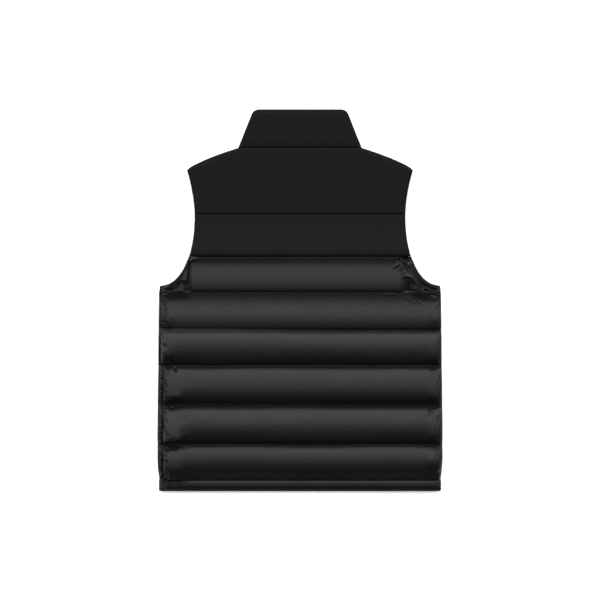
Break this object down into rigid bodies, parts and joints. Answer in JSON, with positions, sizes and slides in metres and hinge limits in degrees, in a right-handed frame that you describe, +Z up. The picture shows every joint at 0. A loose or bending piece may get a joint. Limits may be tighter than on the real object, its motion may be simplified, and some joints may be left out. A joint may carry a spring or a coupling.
{
  "type": "padded vest",
  "caption": "Sleeveless padded vest with a stand collar and front zip, lying flat on its front: smooth matte yoke above glossy quilted channels and a hem band.",
  "frame": {"origin": "on the surface that the vest lies on, under the middle of its outline", "axes": "+Z up out of the back, +Y from the hem to the collar, +X to the wearer's right"},
  "size_m": [0.569, 0.7634, 0.0484],
  "materials": {
    "matte_cloth": "matte black plain-weave polyester with a faint cool cast",
    "glossy_cloth": "glossy black fine nylon over soft filling",
    "zip_tape": "matte black woven zip tape",
    "zip_metal": "dark satin coated metal"
  },
  "bodies": {
    "vest": {"back_yoke": "matte_cloth", "back_body": "glossy_cloth", "front_yoke_left": "matte_cloth", "front_yoke_right": "matte_cloth", "front_body_left": "glossy_cloth", "front_body_right": "glossy_cloth", "collar": "matte_cloth", "hem_band": "glossy_cloth", "zip_tape_left": "zip_tape", "zip_tape_right": "zip_tape", "zip_slider": "zip_metal"},
    "pull_tab": {"zip_pull": "zip_metal"}
  },
  "joints": [
    {"name": "pull_swing", "type": "hinge", "parent": "vest", "child": "pull_tab", "pos_m": [0, 0.296, 0.00195], "axis": [1, 0, 0], "range_deg": [0, 180]}
  ]
}
